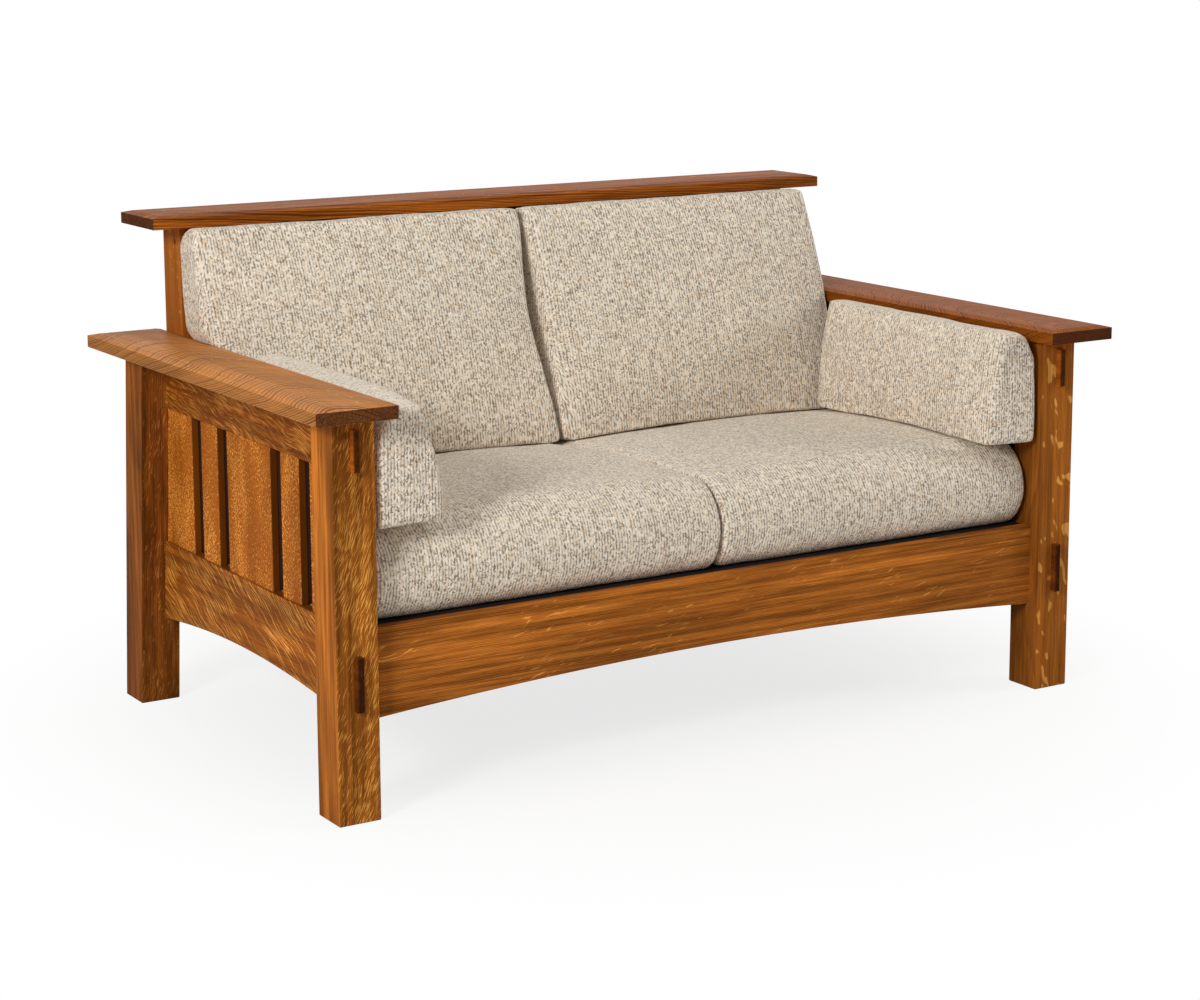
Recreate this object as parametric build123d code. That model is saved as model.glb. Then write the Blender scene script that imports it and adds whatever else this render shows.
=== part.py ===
from build123d import *
import os
from math import cos, hypot, radians, tan

os.makedirs("parts", exist_ok=True)

# A two-seat oak settle in the plain rectilinear style: square posts, flat bevelled arms and
# crest cap, slatted sides, arched aprons, a sprung deck and six loose cushions.
# Millimetres. +X is to the viewer's right from the front, +Y runs to the back, +Z is up.
# The origin is at the floor, in the middle of the whole settle.

# Overall
overall_width = 1640
overall_depth = 972
overall_height = 917

# Timber sections
post_side = 76
rail_thickness = 22
slat_thickness = 14
edge_round = 2
foot_chamfer = 1.5

# Arms
arm_width = 145
arm_thickness = 26
arm_top = 695
arm_side_overhang = 49
arm_front_overhang = 47
arm_back_inset = 13
bevel_run = 16
bevel_rise = 4
bevel_round = 1.2

# Back posts
back_foot_inset = 20
back_post_rake = 4.6

# Aprons and side rails
apron_recess = 24
apron_top = 315
apron_end_bottom = 163
apron_rise = 27
back_apron_recess = 26
side_rail_inset = 47
lower_rail_top = 311
lower_rail_end_bottom = 160
lower_rail_rise = 25
upper_rail_bottom = 565

# Side slats, from the front: edge, narrow, wide, narrow, edge
side_slat_recess = 5
wide_slat_width = 180
narrow_slat_width = 72
slat_gap = 40
backing_thickness = 6

# Tenon blocks on the front posts
tenon_width = 12
tenon_stand_out = 13
tenon_chamfer = 1.5
upper_tenon_bottom = 582
upper_tenon_height = 69
lower_tenon_bottom = 189
lower_tenon_height = 91

# Crest cap
cap_length = 1482
cap_depth = 155
cap_thickness = 24
cap_front_overhang = 40

# Back frame
stile_width = 38
back_lean = 16
back_rail_thickness = 38
back_top_rail_height = 88
back_lower_rail_height = 96
back_slat_count = 9
back_slat_width = 66
back_slat_recess = 8
spacer_length = 300
spacer_drop = 22
spacer_width = 34
spacer_margin = 4

# Screws through the stiles into the back top rail
screw_below_cap = 30
screw_from_stile_front = 21
screw_length = 70
screw_radius = 2.2
screw_head_radius = 4.5
screw_head_thickness = 3
screw_sink = 3.5

# Seat deck
deck_rail_height = 50
deck_cloth_thickness = 1.2
webbing_thickness = 1
webbing_width = 60
lengthwise_straps = 8
crosswise_straps = 4
deck_margin = 3

# Cushions
soft_gap = 1
cushion_side_gap = 1
cushion_end_round = 12
cushion_sections = 5
cushion_end_crown_share = 0.1
seat_end_gap = 5
seat_front_inset = 24
seat_back_gap = 5
seat_height = 158
seat_nose_run = 104
seat_nose_under = 38
seat_nose_bulge = 66
seat_top_bulge = 12
seat_back_drop = 28
seat_back_bulge = 5
seat_crown = 10
back_cushion_end_gap = 3
back_cushion_base_thickness = 124
back_cushion_heel_gap = 2
back_cushion_top_thickness = 90
back_cushion_back_drop = 27
back_cushion_top_bulge = 14
back_cushion_edge_bulge = 6
back_cushion_crown = 20
bolster_front_inset = 4
bolster_back_gap = 13
bolster_lift = 8.5
bolster_end_gap = 7
bolster_base_width = 110
bolster_shoulder_drop = 29
bolster_shoulder_set_in = 4
bolster_top_set_in = 11
bolster_top_drop = 5
bolster_top_width = 58
bolster_top_fall = 10
bolster_top_bulge = 6
bolster_outer_bulge = 3
bolster_inner_bulge = 6
bolster_crown = 5

pieces = {}

# Places that follow from the sizes
half_width = overall_width / 2
front_y = -overall_depth / 2
back_y = overall_depth / 2
post_front_y = front_y + arm_front_overhang
post_outer_x = half_width - arm_side_overhang
post_inner_x = post_outer_x - post_side
arm_inner_x = half_width - arm_width
arm_bottom = arm_top - arm_thickness
front_post_back_y = post_front_y + post_side
back_foot_front_y = back_y - back_foot_inset - post_side
rake_slope = tan(radians(back_post_rake))
side_rail_outer_x = post_outer_x - side_rail_inset
side_rail_inner_x = side_rail_outer_x - rail_thickness
cap_bottom = overall_height - cap_thickness
cap_front_y = back_y - cap_depth
stile_front_y = cap_front_y + cap_front_overhang
stile_outer_x = arm_inner_x
screw_y = stile_front_y + screw_from_stile_front
screw_z = cap_bottom - screw_below_cap
screw_head_outer_x = stile_outer_x - screw_sink
screw_head_inner_x = screw_head_outer_x - screw_head_thickness
stile_inner_x = stile_outer_x - stile_width
lean_slope = tan(radians(back_lean))
back_rail_depth = back_rail_thickness / cos(radians(back_lean))
back_slat_depth = slat_thickness / cos(radians(back_lean))
back_top_rail_bottom = cap_bottom - back_top_rail_height
back_lower_rail_top = lower_rail_top
back_lower_rail_bottom = back_lower_rail_top - back_lower_rail_height
deck_top = apron_top
webbing_top = deck_top - deck_cloth_thickness
deck_rail_top = webbing_top - 2 * webbing_thickness
deck_rail_bottom = deck_rail_top - deck_rail_height
deck_front_y = post_front_y + apron_recess + rail_thickness
seat_front_y = post_front_y + seat_front_inset
seat_bottom = deck_top + soft_gap
seat_top = seat_bottom + seat_height


def back_post_front(z):
    """Y of the raked back posts' front face at a height."""
    return back_foot_front_y - rake_slope * z


def back_face(z):
    """Y of the leaning back frame's front face at a height."""
    return stile_front_y - (cap_bottom - z) * lean_slope


def box_between(low, high):
    """A plain block between two opposite corners."""
    size = [b - a for a, b in zip(low, high)]
    return Pos(*low) * Box(*size, align=(Align.MIN, Align.MIN, Align.MIN))


def eased(board, ease=fillet):
    """A board with its four long edges rounded, or cut at a slant where they follow an arch."""
    return ease(board.edges().sort_by(SortBy.LENGTH)[-4:], edge_round)


def both_sides(name, right):
    """A right-hand piece and its mirror image, named for their sides."""
    pieces[name + "_right"] = right
    pieces[name + "_left"] = mirror(right, about=Plane.YZ)


def across(outline, x_low, x_high):
    """An outline in the YZ plane, extruded between two values of X."""
    return extrude(Plane.YZ.offset(x_low) * make_face(outline), x_high - x_low)


def sloped_board(x_low, x_high, front, depth, z_low, z_high):
    """A board whose front face follows a sloping line, cut level at both ends."""
    outline = Polyline(
        (front(z_low), z_low),
        (front(z_low) + depth, z_low),
        (front(z_high) + depth, z_high),
        (front(z_high), z_high),
        close=True,
    )
    return across(outline, x_low, x_high)


def back_slat_face(z):
    """Y of the back slats' front face at a height."""
    return back_face(z) + back_slat_recess


def board_to_slope(x_low, x_high, start, end_line, z_low, z_high):
    """A board from an upright end to a sloping face that it meets."""
    outline = Polyline(
        (start, z_low),
        (end_line(z_low), z_low),
        (end_line(z_high), z_high),
        (start, z_high),
        close=True,
    )
    return across(outline, x_low, x_high)


def posts():
    """Two upright front posts and two back posts that rake out to the floor."""
    low = (post_inner_x, post_front_y, 0)
    high = (post_outer_x, front_post_back_y, arm_bottom)
    front = eased(box_between(low, high))
    back = eased(sloped_board(post_inner_x, post_outer_x, back_post_front, post_side, 0, arm_bottom))
    for name, post in (("front_post", front), ("back_post", back)):
        foot = post.faces().sort_by(Axis.Z)[0].edges()
        both_sides(name, chamfer(foot, foot_chamfer))


def bevelled_board(low, high):
    """A board with a shallow bevel all round its top face and softened edges."""
    board = box_between(low, high)
    top = board.faces().sort_by(Axis.Z)[-1]
    board = chamfer(top.edges(), bevel_run, bevel_rise, reference=top)
    return fillet(board.edges(), bevel_round)


def arms():
    """Flat arm boards on top of the posts."""
    low = (arm_inner_x, front_y, arm_bottom)
    both_sides("arm", bevelled_board(low, (half_width, back_y - arm_back_inset, arm_top)))


def crest_cap():
    """The cap board along the top of the back."""
    low = (-cap_length / 2, cap_front_y, cap_bottom)
    pieces["crest_cap"] = bevelled_board(low, (cap_length / 2, back_y, overall_height))


def arch(start, end, bottom, rise, top_end, top_start, top):
    """Outline of a rail whose underside rises in one arc."""
    middle = (start + end) / 2
    return [
        ThreePointArc((start, bottom), (middle, bottom + rise), (end, bottom)),
        Line((end, bottom), (top_end, top)),
        Line((top_end, top), (top_start, top)),
        Line((top_start, top), (start, bottom)),
    ]


def aprons():
    """Arched aprons between the front posts and between the back posts."""
    reach = post_inner_x
    outline = arch(-reach, reach, apron_end_bottom, apron_rise, reach, -reach, apron_top)
    front = post_front_y + apron_recess
    back = back_post_front(apron_top) + post_side - back_apron_recess - rail_thickness
    for name, y in (("front_apron", front), ("back_apron", back)):
        board = extrude(Plane.XZ.offset(-y) * make_face(outline), -rail_thickness)
        pieces[name] = eased(board, chamfer)


def side_rails():
    """The upper rail under each arm and the arched lower rail."""
    start = front_post_back_y
    thickness = (side_rail_inner_x, side_rail_outer_x)
    upper = board_to_slope(*thickness, start, back_post_front, upper_rail_bottom, arm_bottom)
    lower_line = arch(
        start,
        back_post_front(lower_rail_end_bottom),
        lower_rail_end_bottom,
        lower_rail_rise,
        back_post_front(lower_rail_top),
        start,
        lower_rail_top,
    )
    lower = across(lower_line, *thickness)
    both_sides("upper_side_rail", eased(upper))
    both_sides("lower_side_rail", eased(lower, chamfer))


def side_slats():
    """Five slats a side, even about the middle of the side panel, and the board behind them."""
    outer = side_rail_outer_x - side_slat_recess
    inner = outer - slat_thickness
    middle = (front_post_back_y + back_post_front((lower_rail_top + upper_rail_bottom) / 2)) / 2
    narrow_start = wide_slat_width / 2 + slat_gap
    edge_start = narrow_start + narrow_slat_width + slat_gap
    spans = [
        (front_post_back_y, middle - edge_start),
        (middle - narrow_start - narrow_slat_width, middle - narrow_start),
        (middle - wide_slat_width / 2, middle + wide_slat_width / 2),
        (middle + narrow_start, middle + narrow_start + narrow_slat_width),
    ]
    for number, (start, end) in enumerate(spans, 1):
        low = (inner, start, lower_rail_top)
        slat = box_between(low, (outer, end, upper_rail_bottom))
        both_sides(f"side_slat_{number}", eased(slat))
    span = (lower_rail_top, upper_rail_bottom)
    last = board_to_slope(inner, outer, middle + edge_start, back_post_front, *span)
    both_sides(f"side_slat_{len(spans) + 1}", eased(last))

    behind = inner - backing_thickness
    span = (deck_top, upper_rail_bottom)
    backing = board_to_slope(behind, inner, front_post_back_y, back_post_front, *span)
    both_sides("side_backing", backing)


def tenon_blocks():
    """End-grain blocks that stand out of the front posts like through tenons."""
    middle = (post_inner_x + post_outer_x) / 2
    places = (
        ("upper_tenon", upper_tenon_bottom, upper_tenon_height),
        ("lower_tenon", lower_tenon_bottom, lower_tenon_height),
    )
    for name, bottom, height in places:
        low = (middle - tenon_width / 2, post_front_y - tenon_stand_out, bottom)
        high = (middle + tenon_width / 2, post_front_y, bottom + height)
        block = box_between(low, high)
        end = block.faces().sort_by(Axis.Y)[0]
        both_sides(name, chamfer(end.edges(), tenon_chamfer))


def rod_along_x(x_low, x_high, radius):
    """A round rod on the line of the stile screws."""
    rod = Cylinder(radius, x_high - x_low, align=(Align.CENTER, Align.CENTER, Align.MIN))
    return Plane.YZ.offset(x_low) * Pos(screw_y, screw_z, 0) * rod


def screws():
    """A sunk screw through each stile into the end of the back top rail."""
    shank = rod_along_x(screw_head_inner_x - screw_length, screw_head_inner_x, screw_radius)
    right = shank + rod_along_x(screw_head_inner_x, screw_head_outer_x, screw_head_radius)
    pieces["stile_screws"] = Compound(children=[right, mirror(right, about=Plane.YZ)])


def back_stiles():
    """Upright stiles against the arms' inner edges, with the spacers that join them to the posts."""
    low = (stile_inner_x, stile_front_y, apron_top)
    stile = eased(box_between(low, (stile_outer_x, stile_front_y + post_side, cap_bottom)))
    stile -= rod_along_x(stile_inner_x, screw_head_inner_x, screw_radius)
    stile -= rod_along_x(screw_head_inner_x, stile_outer_x, screw_head_radius)
    both_sides("back_stile", stile)

    top = arm_bottom - spacer_drop
    front = stile_front_y + spacer_margin
    low = (stile_outer_x, front, top - spacer_length)
    both_sides("stile_spacer", box_between(low, (post_inner_x, front + spacer_width, top)))


def back_rails():
    """The leaning top and lower rails that hold the back slats."""
    reach = stile_inner_x
    span = (back_top_rail_bottom, cap_bottom)
    top = eased(sloped_board(-reach, reach, back_face, back_rail_depth, *span))
    hole = rod_along_x(screw_head_inner_x - screw_length, screw_head_inner_x, screw_radius)
    pieces["back_top_rail"] = top - hole - mirror(hole, about=Plane.YZ)

    reach = side_rail_inner_x
    span = (back_lower_rail_bottom, back_lower_rail_top)
    pieces["back_lower_rail"] = eased(sloped_board(-reach, reach, back_face, back_rail_depth, *span))


def back_slats():
    """Evenly spaced slats between the leaning rails."""
    pitch = 2 * stile_inner_x / back_slat_count
    span = (back_lower_rail_top, back_top_rail_bottom)
    for number in range(back_slat_count):
        low = -stile_inner_x + pitch * number + (pitch - back_slat_width) / 2
        high = low + back_slat_width
        slat = sloped_board(low, high, back_slat_face, back_slat_depth, *span)
        pieces[f"back_slat_{number + 1}"] = eased(slat)


def deck_back(z):
    """Y of the deck's back rail's front face at a height."""
    return back_face(z) - rail_thickness


def deck_rails():
    """Rails round the seat deck and a spine under its middle."""
    span = (deck_rail_bottom, deck_rail_top)
    inside = side_rail_inner_x - rail_thickness
    back_of_front = deck_front_y + rail_thickness
    low = (-post_inner_x, deck_front_y, deck_rail_bottom)
    pieces["deck_rail_front"] = box_between(low, (post_inner_x, back_of_front, deck_rail_top))
    pieces["deck_rail_back"] = sloped_board(-inside, inside, deck_back, rail_thickness, *span)
    side = board_to_slope(inside, side_rail_inner_x, front_post_back_y, back_face, *span)
    both_sides("deck_rail", side)
    half = rail_thickness / 2
    pieces["deck_spine"] = board_to_slope(-half, half, back_of_front, deck_back, *span)


def straps(count, low, high, direction):
    """Evenly spaced webbing straps in one layer, side by side along a direction."""
    axis = 0 if direction == "X" else 1
    pitch = (high[axis] - low[axis]) / count
    group = []
    for number in range(count):
        near, far = list(low), list(high)
        near[axis] = low[axis] + pitch * number + (pitch - webbing_width) / 2
        far[axis] = near[axis] + webbing_width
        group.append(box_between(near, far))
    return Compound(children=group)


def deck():
    """Two layers of webbing over the deck rails, and the cloth over them."""
    reach = side_rail_inner_x
    middle = deck_rail_top + webbing_thickness
    back = back_face(deck_rail_top) - deck_margin
    low = (-reach, front_post_back_y, deck_rail_top)
    pieces["crosswise_webbing"] = straps(crosswise_straps, low, (reach, back, middle), "Y")
    reach = post_inner_x
    low = (-reach, deck_front_y, middle)
    pieces["lengthwise_webbing"] = straps(lengthwise_straps, low, (reach, back, webbing_top), "X")
    low = (-reach + deck_margin, deck_front_y, webbing_top)
    pieces["deck_cloth"] = box_between(low, (reach - deck_margin, back, deck_top))


def bulged(start, end, bulge):
    """The middle of an edge, pushed out of an outline that runs anticlockwise."""
    run, climb = end[0] - start[0], end[1] - start[1]
    out = bulge / hypot(run, climb)
    return (start[0] + end[0]) / 2 + out * climb, (start[1] + end[1]) / 2 - out * run


def soft_outline(corners, bulges):
    """A closed outline with bulged edges."""
    edges = []
    for start, end, bulge in zip(corners, corners[1:] + corners[:1], bulges):
        if bulge:
            edges.append(ThreePointArc(start, bulged(start, end, bulge), end))
        else:
            edges.append(Line(start, end))
    return make_face(edges)


def pillow(plane, outline, start, end):
    """A cushion lofted along a plane's normal to a crown at its middle, with rounded ends."""
    sections = []
    for number in range(cushion_sections):
        share = number / (cushion_sections - 1)
        crown = 1 - (1 - cushion_end_crown_share) * (2 * share - 1) ** 2
        sections.append(plane.offset(start + (end - start) * share) * outline(crown))
    body = loft(sections)
    ends = body.faces().sort_by(Axis((0, 0, 0), plane.z_dir))
    return fillet(ends[0].edges() + ends[-1].edges(), cushion_end_round)


def seat_back():
    """Y of a seat cushion's back edge, just in front of the back slats."""
    return back_slat_face(seat_bottom) - seat_back_gap


def seat_outline(crown):
    """Side view of a seat cushion with its rounded nose to the front."""
    back = seat_back()
    top = seat_top + seat_crown * crown
    corners = [
        (seat_front_y + seat_nose_under, seat_bottom),
        (back, seat_bottom),
        (back, top - seat_back_drop),
        (seat_front_y + seat_nose_run, top),
    ]
    return soft_outline(corners, (0, seat_back_bulge, seat_top_bulge, seat_nose_bulge))


def seat_height_at(y):
    """Height of the crown of a seat cushion's top, from the arc along it."""
    front = seat_front_y + seat_nose_run
    share = (y - front) / (seat_back() - front)
    arc = 4 * seat_top_bulge * share * (1 - share)
    return seat_top + seat_crown - seat_back_drop * share + arc


def back_cushion_front():
    """Y of a back cushion's lower front edge."""
    return back_face(seat_top) - back_cushion_base_thickness


def back_cushion_base(y):
    """Height of a back cushion's base, which falls to the back with the seat cushion's top."""
    front, back = back_cushion_front(), seat_back()
    start = seat_height_at(front) + soft_gap
    fall = start - seat_height_at(back) - back_cushion_heel_gap
    return start - fall * (y - front) / (back - front)


def back_cushion_outline(crown):
    """Side view of a back cushion that leans on the back frame and stands on the seat."""
    front = back_cushion_front()
    base = back_cushion_base(front)
    heel = back_cushion_base(back_face(base))
    back_top = cap_bottom - back_cushion_back_drop
    corners = [
        (front, base),
        (back_face(heel) - soft_gap, heel),
        (back_face(back_top) - soft_gap, back_top),
        (back_face(cap_bottom) - back_cushion_top_thickness, cap_bottom),
    ]
    face_bulge = back_cushion_edge_bulge + back_cushion_crown * crown
    return soft_outline(corners, (0, 0, back_cushion_top_bulge, face_bulge))


def bolster_outline(crown):
    """Front view of the right bolster, a wedge that narrows to its top."""
    outer = post_inner_x - bolster_end_gap
    base = seat_top + bolster_lift
    shoulder = outer - bolster_shoulder_set_in
    top_outer = arm_inner_x - bolster_top_set_in
    top = arm_top - bolster_top_drop
    corners = [
        (outer - bolster_base_width, base),
        (outer, base),
        (shoulder, arm_bottom - bolster_shoulder_drop),
        (top_outer, top - bolster_top_fall),
        (top_outer - bolster_top_width, top),
    ]
    inner_bulge = bolster_inner_bulge + bolster_crown * crown
    bulges = (0, bolster_outer_bulge, 0, bolster_top_bulge, inner_bulge)
    return soft_outline(corners, bulges)


def cushions():
    """Two seat cushions, two back cushions and two arm bolsters."""
    seat_end = post_inner_x - seat_end_gap
    both_sides("seat_cushion", pillow(Plane.YZ, seat_outline, cushion_side_gap, seat_end))
    back_end = arm_inner_x - back_cushion_end_gap
    both_sides("back_cushion", pillow(Plane.YZ, back_cushion_outline, cushion_side_gap, back_end))
    front = post_front_y + bolster_front_inset
    back = back_cushion_front() - bolster_back_gap
    bolster = pillow(Plane.XZ, bolster_outline, -back, -front)
    both_sides("bolster", bolster)


for make in (posts, arms, crest_cap, aprons, side_rails, side_slats, tenon_blocks, screws,
             back_stiles, back_rails, back_slats, deck_rails, deck, cushions):
    make()

for node, piece in pieces.items():
    export_step(piece, f"parts/{node}.step")
print(len(pieces), "pieces written")
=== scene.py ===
"""Dresses an oak settle: stained boards, ribbed cushions, its webbed deck and a pale studio."""
import math
from functools import partial, partialmethod

import bpy
import numpy as np
from bpy.props import FloatProperty, FloatVectorProperty, IntProperty, PointerProperty
from mathutils import Matrix, Vector, noise
from mathutils.bvhtree import BVHTree


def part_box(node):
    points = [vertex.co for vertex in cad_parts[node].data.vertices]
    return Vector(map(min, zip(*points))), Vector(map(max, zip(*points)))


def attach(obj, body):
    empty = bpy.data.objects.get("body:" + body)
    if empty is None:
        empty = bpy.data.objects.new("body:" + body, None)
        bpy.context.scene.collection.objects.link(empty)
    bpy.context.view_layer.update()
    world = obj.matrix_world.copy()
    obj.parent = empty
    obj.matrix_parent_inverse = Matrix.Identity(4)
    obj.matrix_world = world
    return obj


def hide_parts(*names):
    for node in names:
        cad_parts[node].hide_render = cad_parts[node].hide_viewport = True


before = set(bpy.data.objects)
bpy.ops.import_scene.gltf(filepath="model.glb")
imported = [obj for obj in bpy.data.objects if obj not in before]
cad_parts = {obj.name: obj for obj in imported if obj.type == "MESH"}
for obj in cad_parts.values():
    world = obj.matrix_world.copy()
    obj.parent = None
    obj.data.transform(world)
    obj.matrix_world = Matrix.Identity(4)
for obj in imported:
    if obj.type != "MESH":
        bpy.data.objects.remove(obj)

bl_info = {
    "name": "Oak settle",
    "version": (1, 0, 0),
    "blender": (4, 5, 0),
    "location": "View3D > Sidebar > Oak settle",
    "description": "Builds the finish, the cushions and the studio of an oak settle",
    "category": "Object",
}


# Sizes and colours

def shade(*levels):
    """A colour written as it looks on screen, as the linear values a shader needs."""
    scaled = [value / 255 for value in levels]
    return tuple(v / 12.92 if v <= 0.04045 else ((v + 0.055) / 1.055) ** 2.4 for v in scaled)


def colour_prop(name, description, values):
    """A colour that a user may change."""
    return FloatVectorProperty(
        name=name, description=description, default=shade(*values), subtype="COLOR", min=0, max=1
    )


def number_prop(name, description, value, **facts):
    """A number that a user may change."""
    return FloatProperty(name=name, description=description, default=value, min=0, **facts)


length_prop = partial(number_prop, unit="LENGTH", precision=4)
share_prop = partial(number_prop, max=1, subtype="FACTOR")
power_prop = partial(number_prop, unit="POWER")


class OakSettings(bpy.types.PropertyGroup):
    """Colours and figure of the stained oak."""
    middle: colour_prop("Stain", "Most of a board", (139, 77, 20))
    pale: colour_prop("Pale streaks", "The lighter streaks along the grain", (176, 106, 36))
    dark: colour_prop("Ring lines", "Open pores and ring lines", (70, 33, 11))
    flake: colour_prop("Ray flakes", "The bright flakes on quartersawn faces", (214, 150, 66))
    end: colour_prop("End grain", "Sawn ends, where the stain soaks in", (62, 30, 17))
    behind: colour_prop("Boards behind", "The dark boards behind the side slats", (52, 31, 27))
    plain: colour_prop("Deck rails", "The plain hardwood under the cushions", (176, 140, 92))
    ring_spacing: length_prop("Ring spacing", "From one ring line to the next", 0.0034)
    roughness: share_prop("Roughness", "Roughness of the finish between the pores", 0.42)


class FabricSettings(bpy.types.PropertyGroup):
    """Yarn colours and rhythm of the ribbed upholstery."""
    cream: colour_prop("Cream yarn", "The raised ribs", (255, 246, 231))
    beige: colour_prop("Beige yarn", "The duller stitches of the ribs", (240, 221, 195))
    tan: colour_prop("Tan yarn", "Warm stitches among the ribs", (198, 164, 122))
    # The brown yarn also paints the shade in the gaps between ribs
    brown: colour_prop("Brown yarn", "The flecks and the gaps between ribs", (90, 72, 54))
    rib: length_prop("Rib pitch", "From one rib to the next", 0.0057)
    stitch: length_prop("Stitch", "Length of one stitch along a rib", 0.0052)


class CushionSettings(bpy.types.PropertyGroup):
    """How the cushions are filled and sewn."""
    pressure: number_prop("Pressure", "How hard the filling pushes", 4, max=20)
    steps: IntProperty(
        name="Steps", description="Frames the filling gets to settle", default=20, min=1, max=60
    )
    shrink: length_prop("Start smaller", "How far the cover starts inside the cushion", 0.003)
    swell: length_prop("Most swell", "How far the filling may push the cover out", 0.007)
    tuck: length_prop("Most tuck", "How far the corners may draw in", 0.0015)
    slack: length_prop("Slack", "How far the cover may stay inside the form", 0.0006)
    proud: length_prop("Proud", "How far the cover may stand out of the form", 0.0015)
    sag: length_prop("Most sag", "How far a cushion's underside sags onto the seat", 0.0095)
    sag_height: length_prop("Sag height", "How far up a cushion the sag reaches", 0.07)
    clear: length_prop("Clearance", "How far a cover stays from its neighbours", 0.00035)
    seam_depth: length_prop("Seam depth", "How deep the seams draw the cover in", 0.0012)
    seam_inset: length_prop("Seam place", "From a cushion's end to its seam", 0.013)
    softness: length_prop("Softness", "Height of the slow dents of use", 0.0022)


class DeckSettings(bpy.types.PropertyGroup):
    """The cloth and webbing under the cushions, and the screws."""
    cloth: colour_prop("Deck cloth", "Cloth under the cushions", (26, 25, 26))
    jute: colour_prop("Webbing", "The woven straps", (170, 138, 92))
    stripe: colour_prop("Webbing stripe", "Lines along the straps' edges", (96, 48, 36))
    steel: colour_prop("Screws", "Blackened steel", (52, 48, 46))


class StudioSettings(bpy.types.PropertyGroup):
    """Lamps, floor and surroundings."""
    floor: colour_prop("Floor", "The plain pale floor", (250, 250, 249))
    floor_radius: length_prop("Floor size", "Radius of the floor", 60)
    key: power_prop("Key lamp", "From the left", 200)
    right: power_prop("Right lamp", "From the right", 74)
    top: power_prop("Top lamp", "From above", 52)
    around: share_prop("Surroundings", "Light from all round", 0.155)


class SettleSettings(bpy.types.PropertyGroup):
    """All that can be changed on the settle."""
    oak: PointerProperty(type=OakSettings)
    fabric: PointerProperty(type=FabricSettings)
    cushions: PointerProperty(type=CushionSettings)
    deck: PointerProperty(type=DeckSettings)
    studio: PointerProperty(type=StudioSettings)


def settings():
    """The settle's settings on the open scene."""
    return bpy.context.scene.oak_settle


def set_all(thing, facts):
    """Sets several facts of a thing."""
    for name, value in facts.items():
        setattr(thing, name, value)


# Node trees

class Shading:
    """Adds nodes to a tree and joins them."""

    def __init__(self, tree):
        self.tree = tree
        tree.nodes.clear()

    def feed(self, socket, value):
        """Sets a socket to a value, or joins it to another node's output."""
        if isinstance(value, bpy.types.NodeSocket):
            self.tree.links.new(value, socket)
        elif hasattr(socket.default_value, "__len__") and len(socket.default_value) == 4:
            socket.default_value = (*value, 1) if len(value) == 3 else value
        else:
            socket.default_value = value

    def add(self, kind, inputs=None, **facts):
        """A new node with its facts set and its inputs fed, by name or by number."""
        made = self.tree.nodes.new("ShaderNode" + kind)
        set_all(made, facts)
        self.feed_all(made.inputs, inputs or {})
        return made

    def feed_all(self, sockets, values):
        """Feeds several sockets, by name or by number."""
        for name, value in values.items():
            self.feed(sockets[name], value)

    def work(self, operation, *values):
        """A piece of arithmetic."""
        return self.add("Math", dict(enumerate(values)), operation=operation).outputs[0]

    plus = partialmethod(work, "ADD")
    less = partialmethod(work, "SUBTRACT")
    product = partialmethod(work, "MULTIPLY")
    ratio = partialmethod(work, "DIVIDE")
    floor = partialmethod(work, "FLOOR")
    scaled = partialmethod(work, "MULTIPLY_ADD")

    def off_centre(self, value):
        """How far a value is from the middle of its cell, 0 to 0.5."""
        return self.work("ABSOLUTE", self.less(self.work("FRACT", value), 0.5))

    def times(self, vector, by):
        """A vector stretched by another."""
        return self.add("VectorMath", {0: vector, 1: by}, operation="MULTIPLY").outputs[0]

    def vector(self, *parts):
        """A vector from its three parts."""
        return self.add("CombineXYZ", dict(enumerate(parts))).outputs[0]

    def parts(self, vector):
        """The three parts of a vector."""
        return self.add("SeparateXYZ", {0: vector}).outputs

    def mottle(self, vector, stretch, detail=2.0, rough=0.5):
        """Noise from 0 to 1 that is stretched along a board."""
        inputs = {"Vector": self.times(vector, stretch), "Scale": 1, "Detail": detail,
                  "Roughness": rough}
        return self.add("TexNoise", inputs).outputs["Fac"]

    def ramp(self, value, low, high, start=0.0, end=1.0):
        """A smooth rise of a value between two levels."""
        inputs = {"Value": value, "From Min": low, "From Max": high, "To Min": start, "To Max": end}
        return self.add("MapRange", inputs, interpolation_type="SMOOTHSTEP").outputs[0]

    def mix(self, share, first, second, blend="MIX"):
        """Two colours mixed by a share."""
        made = self.add("Mix", data_type="RGBA", blend_type=blend)
        self.feed_all(made.inputs, {0: share, 6: first, 7: second})
        return made.outputs[2]

    def dimmed(self, colour, level):
        """A colour multiplied by a level."""
        return self.mix(1, colour, self.vector(level, level, level), "MULTIPLY")

    def random(self, *places):
        """A random value that stays the same over each cell."""
        cell = self.vector(*places)
        return self.add("TexWhiteNoise", {"Vector": cell}, noise_dimensions="3D").outputs["Value"]


def node_group(name, inputs, outputs):
    """A new shader group with its sockets by kind, and its input and output ends."""
    tree = bpy.data.node_groups.new(name, "ShaderNodeTree")
    paint = Shading(tree)
    for in_out, sockets in (("INPUT", inputs), ("OUTPUT", outputs)):
        for kind, labels in sockets.items():
            for label in labels:
                tree.interface.new_socket(label, in_out=in_out, socket_type="NodeSocket" + kind)
    taken = tree.nodes.new("NodeGroupInput").outputs
    given = tree.nodes.new("NodeGroupOutput").inputs
    return tree, paint, taken, given


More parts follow.
